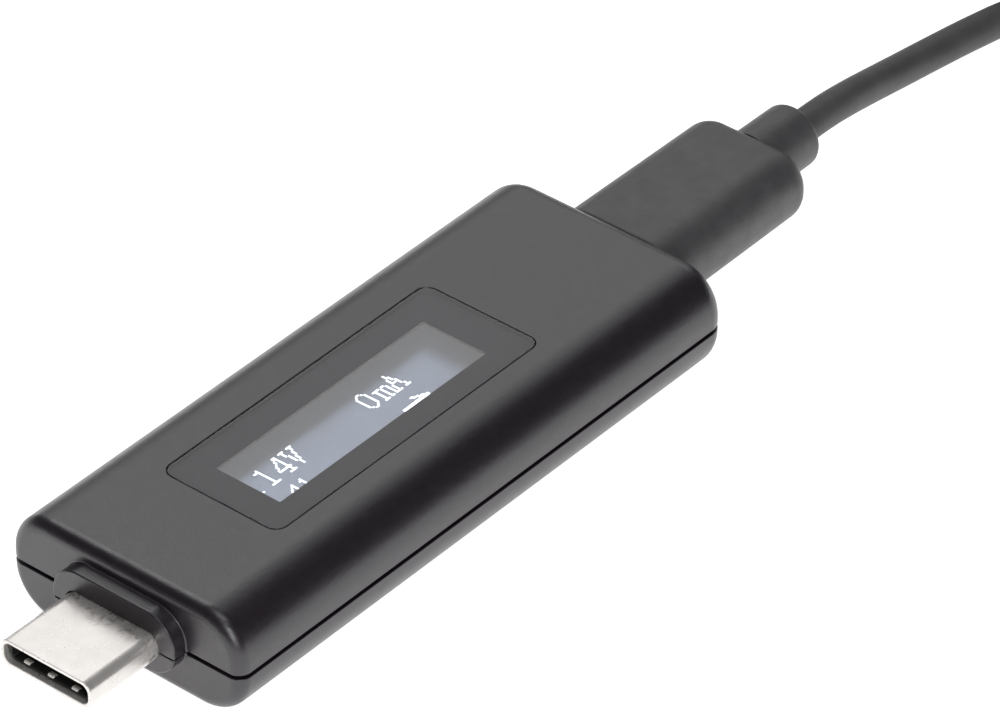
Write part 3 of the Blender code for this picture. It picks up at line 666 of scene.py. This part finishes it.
def bottom_shell():
    shell = housing_half("bottom_shell", False)
    carve(shell, plan("lip", 0.75 * MM, 0.9 * MM, PARTING_BOTTOM - MM, BASE_TOP), "UNION")
    carve(shell, cavity())
    cut_ports(shell)
    settle(shell, SHELL, "meter", "shell_plastic", "lower_shell")


# Display

GLYPHS = {
    "0": ("..##..", ".#..#.", "#....#", "#....#", "#....#", "#....#", "#....#", "#....#", "#....#", "#....#",
          ".#..#.", "..##.."),
    "1": ("..#..", "###..", "..#..", "..#..", "..#..", "..#..", "..#..", "..#..", "..#..", "..#..", "..#..",
          "#####"),
    "4": ("....##.", "....##.", "...#.#.", "...#.#.", "..#..#.", ".#...#.", ".#...#.", "#....#.", "#######",
          ".....#.", ".....#.", "...####"),
    "5": ("######", "#.....", "#.....", "#.....", "#.###.", "##...#", ".....#", ".....#", ".....#", "#....#",
          "#...#.", ".###.."),
    ".": ("......",) * 11 + ("..#...",),
    "V": ("###..###", ".#....#.", ".#....#.", ".#...#..", "..#..#..", "..#..#..", "..#.#...", "..#.#...",
          "..#.#...", "...#....", "...#....", "...#...."),
    "m": ("........",) * 4 + ("####.##.", ".#..#..#", ".#..#..#", ".#..#..#", ".#..#..#", ".#..#..#",
                              ".#..#..#", "###.##.#"),
    "A": ("...#....", "...#....", "...##...", "..#.#...", "..#.#...", "..#..#..", "..####..", ".#...#..",
          ".#...#..", ".#....#.", ".#....#.", "###..###"),
    "small_4": ("...#.", "..##.", ".#.#.", "#..#.", "#####", "...#.", "...#."),
    "small_1": ("..#..", ".##..", "..#..", "..#..", "..#..", "..#..", ".###."),
    "arrow": ("........##......", ".........###....", "...........###..", "################",
              "################", "...........###..", ".........###....", "........##......"),
}
# Each row names a glyph with the place of its upper left pixel, in pixels from the top left of "1".
READING = [
    ("5", -16, 0), (".", -8, 0), ("1", 0, 0), ("4", 8, 0), ("V", 16, 0),
    ("0", 63, 0), ("m", 71, 0), ("A", 79, 0),
    ("small_4", 1, 17), ("small_1", 7, 17), ("arrow", 70, 18),
]
READING_ORIGIN = Vector((-7.95, 1.69, 0)) * MM


def pixels():
    """The lit characters, one thin tile for each pixel, on the display's face."""
    work = bmesh.new()
    origin = Matrix.Translation((READING_ORIGIN.x, READING_ORIGIN.y, OLED_TOP + 0.004 * MM))
    base = origin @ Matrix.Rotation(DISPLAY_TURN, 4, "Z")
    size = Matrix.Diagonal((PIXEL * PIXEL_FILL, PIXEL * PIXEL_FILL, 0.006 * MM, 1))
    for glyph, left, top in READING:
        for row, line in enumerate(GLYPHS[glyph]):
            for column, dot in enumerate(line):
                if dot == "#":
                    middle = Vector(((left + column + 0.5) * PIXEL, -(top + row + 0.5) * PIXEL, 0))
                    bmesh.ops.create_cube(work, size=1, matrix=base @ Matrix.Translation(middle) @ size)
    mesh = bpy.data.meshes.new("display_pixels")
    work.to_mesh(mesh)
    work.free()
    lit = new_piece("display_pixels", mesh)
    lit.data.materials.append(PIXELS)
    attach(lit, "meter")


def display():
    lens = rounded_prism("display_lens", lambda inset: window_outline(-inset), LENS_LOW.z, LENS_HIGH.z,
                         0.03 * MM, 0.03 * MM, "Z", steps=4)
    settle(lens, LENS, "meter", "window_plastic", "display_window")
    lens.visible_shadow = False
    mask = loft("lens_mask", [(level, window_outline(-0.1 * MM)) for level in
                              (LENS_LOW.z - 0.08 * MM, LENS_LOW.z + 0.02 * MM)], "Z")
    view = rounded_rectangle(VIEW_LENGTH, VIEW_WIDTH, 0.08 * MM, (WINDOW_X, WINDOW_Y), 3)
    carve(mask, loft("view", [(LENS_LOW.z - MM, view), (LENS_LOW.z + MM, view)], "Z"))
    settle(mask, MASK, "meter", "window_plastic")
    pixels()


# USB-C plugs

def plug_outline(width, height, corner):
    return rounded_rectangle(width, height, corner) if corner < 0.47 * height else stadium(width, height)


def plug_shell(name, place, length, width, corner, body, node):
    """A drawn nickel-plated shell with a turned-in mouth. Its mouth is at X = 0 of its place."""
    def outside(inset):
        return plug_outline(width - 2 * inset, PLUG_HEIGHT - 2 * inset, corner - inset)

    def bore(grow):
        return plug_outline(width - 2 * (PLUG_WALL - grow), PLUG_HEIGHT - 2 * (PLUG_WALL - grow),
                            corner - PLUG_WALL + grow)

    shell = rounded_prism(name, outside, 0, length, 0.07 * MM, 0.02 * MM, "X", place)
    lip = 0.05 * MM
    sections = [(-MM, bore(lip)), *((depth, bore(lip - round_inset(lip, lip - depth))) for depth in
                                    (0, 0.015 * MM, 0.03 * MM, lip)), (length + MM, bore(0))]
    carve(shell, loft("bore", sections, "X", place))
    settle(shell, NICKEL, body, "nickel", node)


def plug_insulator(name, place, length, width, body, node):
    grow = PLUG_WALL + 0.04 * MM
    block = rounded_prism(
        name, lambda inset: stadium(width - 2 * (grow + inset), PLUG_HEIGHT - 2 * (grow + inset)),
        0.45 * MM, length - 0.1 * MM, 0.08 * MM, 0.0, "X", place, 4)

    def slot(flare):
        return rounded_rectangle(7.2 * MM + 2 * flare, 1.1 * MM + 2 * flare, 0.12 * MM + flare, steps=4)

    sections = [(level, slot(flare)) for level, flare in
                ((-MM, 0.1 * MM), (0.45 * MM, 0.1 * MM), (0.62 * MM, 0), (SLOT_DEPTH, 0))]
    carve(block, loft("slot", sections, "X", place))
    settle(block, INSULATOR, body, "insulator_plastic", node)


def ground_spring(name, place, side, node):
    """A stamped strip across the mouth with three tongues, each bent to a bump that bears on the socket."""
    thickness = 0.1 * MM
    outer = side * 0.78 * MM
    profile = [(1.9, 0.0), (1.5, 0.0), (1.25, 0.03), (1.05, 0.10), (0.88, 0.20), (0.72, 0.26), (0.58, 0.22),
               (0.50, 0.14)]
    work = bmesh.new()
    for middle in (-2.3 * MM, 0.0, 2.3 * MM):
        rings = []
        for level, rise in profile:
            taper = 0.5 + 0.5 * min(1, (level - 0.3) / 0.9)
            half = 0.36 * MM * (0.55 + 0.45 * taper)
            height = outer - side * rise * MM
            corners = [(middle - half, height), (middle + half, height),
                       (middle + half, height - side * thickness), (middle - half, height - side * thickness)]
            rings.append([work.verts.new(place @ FACING["X"] @ Vector((across, up, level * MM)))
                          for across, up in corners])
        for one, two in zip(rings, rings[1:]):
            for i in range(4):
                j = (i + 1) % 4
                work.faces.new((one[i], one[j], two[j], two[i]))
        work.faces.new(rings[0][::-1])
        work.faces.new(rings[-1])
    bmesh.ops.bevel(work, geom=list(work.edges), offset=0.035 * MM, segments=3, affect="EDGES")
    bmesh.ops.recalc_face_normals(work, faces=work.faces)
    mesh = bpy.data.meshes.new(name)
    work.to_mesh(mesh)
    work.free()
    settle(new_piece(name, mesh), NICKEL, "meter", "nickel", node, sharp=50)


def usb_plug(prefix, place, length, width, corner, body):
    plug_shell(prefix + "usb_shell", place, length, width, corner, body, prefix + "plug_shell")
    plug_insulator(prefix + "usb_insulator", place, length, width, body, prefix + "plug_insulator")


# Lead

def lead_end(prefix, place):
    """The overmoulded grip behind a plug and the strain relief behind it."""
    width, height, radius = GRIP_SECTION
    front, rear = PLUG_INSERT, PLUG_INSERT + GRIP_LENGTH
    sections = []
    for depth in rim_depths(GRIP_FRONT_RADIUS, 5):
        inset = round_inset(GRIP_FRONT_RADIUS, depth)
        sections.append((front + depth, (width - 2 * inset, height - 2 * inset, radius - inset)))
    for depth in rim_depths(GRIP_REAR_RADIUS, 12)[::-1]:
        inset = round_inset(GRIP_REAR_RADIUS, depth)
        taper = 1 - GRIP_TAPER * (GRIP_LENGTH - depth) / GRIP_LENGTH
        size = (width * taper - 2 * inset, height * taper - 2 * inset, radius * taper - inset)
        sections.append((rear - depth, size))
    outlines = [(level, rounded_rectangle(*size, steps=20)) for level, size in sections]
    grip = loft(prefix + "grip_body", outlines, "X", place)
    recess = stadium(PLUG_WIDTH + 0.6 * MM, PLUG_HEIGHT + 0.6 * MM)
    carve(grip, loft("recess", [(front - MM, recess), (front + 1.6 * MM, recess)], "X", place))
    settle(grip, GRIP, "lead", "grip_plastic", prefix + "grip")

    end = rear + RELIEF_LENGTH
    profile = [(-0.6 * MM, 1.0), (0.15 * MM, 1.0), (2.0 * MM, 0.995), (4.0 * MM, 0.99)]
    rings = [(rear + level, RELIEF_RADIUS * share) for level, share in profile]
    rings += [(end - depth, RELIEF_RADIUS * 0.99 - round_inset(0.6 * MM, depth))
              for depth in rim_depths(0.6 * MM, 8)[::-1]]
    cord_radius = CORD_DIAMETER / 2
    rings += [(end - 0.02 * MM, cord_radius + 0.16 * MM), (end - 0.3 * MM, cord_radius + 0.02 * MM)]
    relief = loft(prefix + "relief_body", [(level, circle(r, 64)) for level, r in rings], "X", place)
    settle(relief, GRIP, "lead", "grip_plastic", prefix + "strain_relief", sharp=50)
    return grip, relief


def smooth_step(value):
    value = min(1.0, max(0.0, value))
    return value * value * (3 - 2 * value)


def hank_place(turns, outwards):
    """A place on the hank from above. Half a turn is a run that the tie pinches in, and a fold."""
    half = turns % 1
    side = 1 if half < 0.5 else -1
    run_share = HANK_RUN / (HANK_RUN + math.pi * HANK_RADIUS)
    part = half % 0.5 * 2
    if part < run_share:
        along = part / run_share
        angle = TURN * along
        slope = math.pi * HANK_PINCH / HANK_RUN * math.sin(angle)
        pinched = HANK_PINCH * (1 - math.cos(angle)) / 2
        place = Vector(((along - 0.5) * HANK_RUN, pinched - HANK_RADIUS))
        normal = Vector((slope, -1)).normalized()
    else:
        angle = math.pi * ((part - run_share) / (1 - run_share) - 0.5)
        normal = Vector((math.cos(angle), math.sin(angle)))
        place = Vector((HANK_RUN / 2, 0)) + HANK_RADIUS * normal
    return HANK_CENTRE.xy + side * (place + outwards * normal)


# Where the cord changes its place in the hank: from and to in turns, then the steps outwards and up.
HANK_MOVES = [
    (0.79, 0.94, -1, 0), (1.62, 1.77, 0, 1), (2.45, 2.60, 1, 0), (3.28, 3.43, 0, 1), (3.46, 3.58, -1, 0),
    (4.30, 4.46, 0, 1), (4.46, 4.58, 1, 0), (4.58, 4.74, 0, -1),
]


def hank_point(turns):
    rank, layer = 1.0, 0.0
    for start, stop, outwards, upwards in HANK_MOVES:
        share = smooth_step((turns - start) / (stop - start))
        rank += outwards * share
        layer += upwards * share
    place = hank_place(turns, (rank - 0.5) * HANK_PITCH)
    return Vector((place.x, place.y, HANK_BASE + CORD_DIAMETER / 2 + layer * HANK_PITCH))


def cord_points():
    count = round((HANK_END - HANK_START) * 40)
    hank = [hank_point(HANK_START + (HANK_END - HANK_START) * step / count) for step in range(count + 1)]
    start, end = ([Vector(place) * MM for place in route] for route in (CORD_ROUTE, TAIL_ROUTE))
    return start + hank + end


def cord():
    """The round cord: out of the relief, down to the table, round the hank and into the far relief."""
    curve = bpy.data.curves.new("lead_wire", "CURVE")
    curve.dimensions = "3D"
    curve.bevel_depth = CORD_DIAMETER / 2
    curve.bevel_resolution = 6
    curve.resolution_u = 5
    curve.use_fill_caps = True
    points = cord_points()
    spline = curve.splines.new("BEZIER")
    spline.bezier_points.add(len(points) - 1)
    for knot, point in zip(spline.bezier_points, points):
        knot.co = point
        knot.handle_left_type = knot.handle_right_type = "AUTO"
    curve.materials.append(JACKET)
    wire = bpy.data.objects.new("lead_wire", curve)
    bpy.context.scene.collection.objects.link(wire)
    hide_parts("lead_cord", "lead_hank", "lead_cord_tail")
    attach(wire, "lead")


def hank_tie():
    """A strap round the middle of the hank with its end lapped over on top."""
    low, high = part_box("hank_tie")
    thickness, width = 0.4 * MM, 6.0 * MM
    place = Matrix.Translation(HANK_CENTRE) @ Matrix.Rotation(math.radians(90), 4, "Z")
    bottom, top = low.z + thickness / 2, high.z - thickness / 2
    span = high.y - low.y - thickness
    loop = rounded_rectangle(span, top - bottom, 1.2 * MM, (0, (bottom + top) / 2), 8)
    strap = sweep_strap("hank_strap", loop, thickness, width, place, True)
    reach = [(-0.3 * span + 0.6 * span * step / 10, top + thickness * 0.98) for step in range(11)]
    lap = sweep_strap("lap", reach, thickness, width * 0.98, place, False)
    carve(strap, lap, "UNION")
    settle(strap, STRAP, "lead", "tie_fabric", "hank_tie", sharp=60)
    return strap


def sweep_strap(name, line, thickness, width, place, closed):
    """A flat strap along a line in the plane of the bundle's section."""
    rings = []
    for index, (across, up) in enumerate(line):
        if closed:
            before, after = line[index - 1], line[(index + 1) % len(line)]
        else:
            before, after = line[max(index - 1, 0)], line[min(index + 1, len(line) - 1)]
        along = Vector((after[0] - before[0], after[1] - before[1])).normalized()
        normal = Vector((-along.y, along.x))
        ring = []
        for side, offset in rounded_rectangle(width, thickness, 0.12 * MM, steps=3):
            ring.append(place @ Vector((across + normal.x * offset, side, up + normal.y * offset)))
        rings.append(ring)
    return loft_rings(name, rings, closed)


# Stage

def softbox(name, azimuth, elevation, distance, size, radiance):
    """An area light that faces the meter from a compass direction."""
    lamp = bpy.data.lights.new(name, "AREA")
    lamp.shape = "RECTANGLE"
    lamp.size, lamp.size_y = size
    lamp.energy = radiance * math.pi * size[0] * size[1]
    light = bpy.data.objects.new(name, lamp)
    towards = direction(azimuth, elevation)
    light.location = Vector((0.01, 0, 0)) + towards * distance
    light.rotation_mode = "QUATERNION"
    light.rotation_quaternion = towards.to_track_quat("Z", "Y")
    light.visible_camera = False
    bpy.context.scene.collection.objects.link(light)


def stage():
    floor_nodes = Nodes("floor_paper")
    floor_nodes.colour_from(floor_nodes.noise(0.08, 2), (0.84, 0.84, 0.845), (0.86, 0.86, 0.86))
    floor_nodes.set(specular_ior_level=0.1, emission_color=(1, 1, 1, 1), emission_strength=0.88)
    floor_nodes.roughness_from(floor_nodes.noise(0.01), 0.85, 0.95)
    reach = 6.0
    corners = [(-reach, -reach), (reach, -reach), (reach, reach), (-reach, reach)]
    floor = loft("floor", [(-0.01, corners), (0.0, corners)], "Z")
    floor.data.materials.append(floor_nodes.material)

    softbox("back_softbox", 38, 37, 0.9, (0.95, 0.70), 1.12)
    softbox("upper_back_softbox", 70, 57, 0.9, (0.50, 0.18), 3.8)
    softbox("overhead_softbox", -120, 78, 0.9, (0.5, 0.4), 2.0)
    softbox("camera_softbox", -127, 31, 0.9, (0.14, 0.46), 13.0)

    world = bpy.data.worlds.new("studio")
    world.use_nodes = True
    backdrop = world.node_tree.nodes["Background"]
    backdrop.inputs["Color"].default_value = (0.05, 0.05, 0.052, 1)
    bpy.context.scene.world = world
    bpy.context.scene.view_settings.view_transform = "Standard"


# Everything

near_place = Matrix.Translation((LEAD_MOUTH, 0, AXIS_HEIGHT))
heading = Vector((math.cos(TAIL_HEADING), math.sin(TAIL_HEADING), 0))
far_mouth = Vector(TAIL_ROUTE[-1]) * MM + heading * (RELIEF_LENGTH + GRIP_LENGTH + PLUG_INSERT)
far_place = Matrix.Translation(far_mouth) @ Matrix.Rotation(TAIL_HEADING + math.pi, 4, "Z")

lead_pieces = [*lead_end("lead_", near_place), *lead_end("far_", far_place), hank_tie()]
usb_plug("lead_", near_place, PLUG_INSERT + PLUG_TAIL, PLUG_WIDTH, PLUG_HEIGHT / 2, "lead")
usb_plug("far_", far_place, PLUG_INSERT + PLUG_TAIL, PLUG_WIDTH, PLUG_HEIGHT / 2, "lead")
lead_pieces += [bpy.data.objects[name] for name in
                ("lead_usb_shell", "lead_usb_insulator", "far_usb_shell", "far_usb_insulator",
                 "lead_contacts_upper", "lead_contacts_lower", "lead_plug_latch",
                 "far_contacts_upper", "far_contacts_lower", "far_plug_latch")]
cord()

top_shell()
bottom_shell()
display()
plug_place = Matrix.Translation(METER_PLUG_SHIFT + Vector((PLUG_LOW.x, 0, AXIS_HEIGHT)))
plug_length = PLUG_HIGH.x - PLUG_LOW.x - METER_PLUG_SHIFT.x
usb_plug("", plug_place, plug_length, METER_PLUG_WIDTH, METER_PLUG_CORNER, "meter")
ground_spring("ground_spring_top", plug_place, 1, "ground_springs_upper")
ground_spring("ground_spring_bottom", plug_place, -1, "ground_springs_lower")
dress_cad_nodes()
stage()
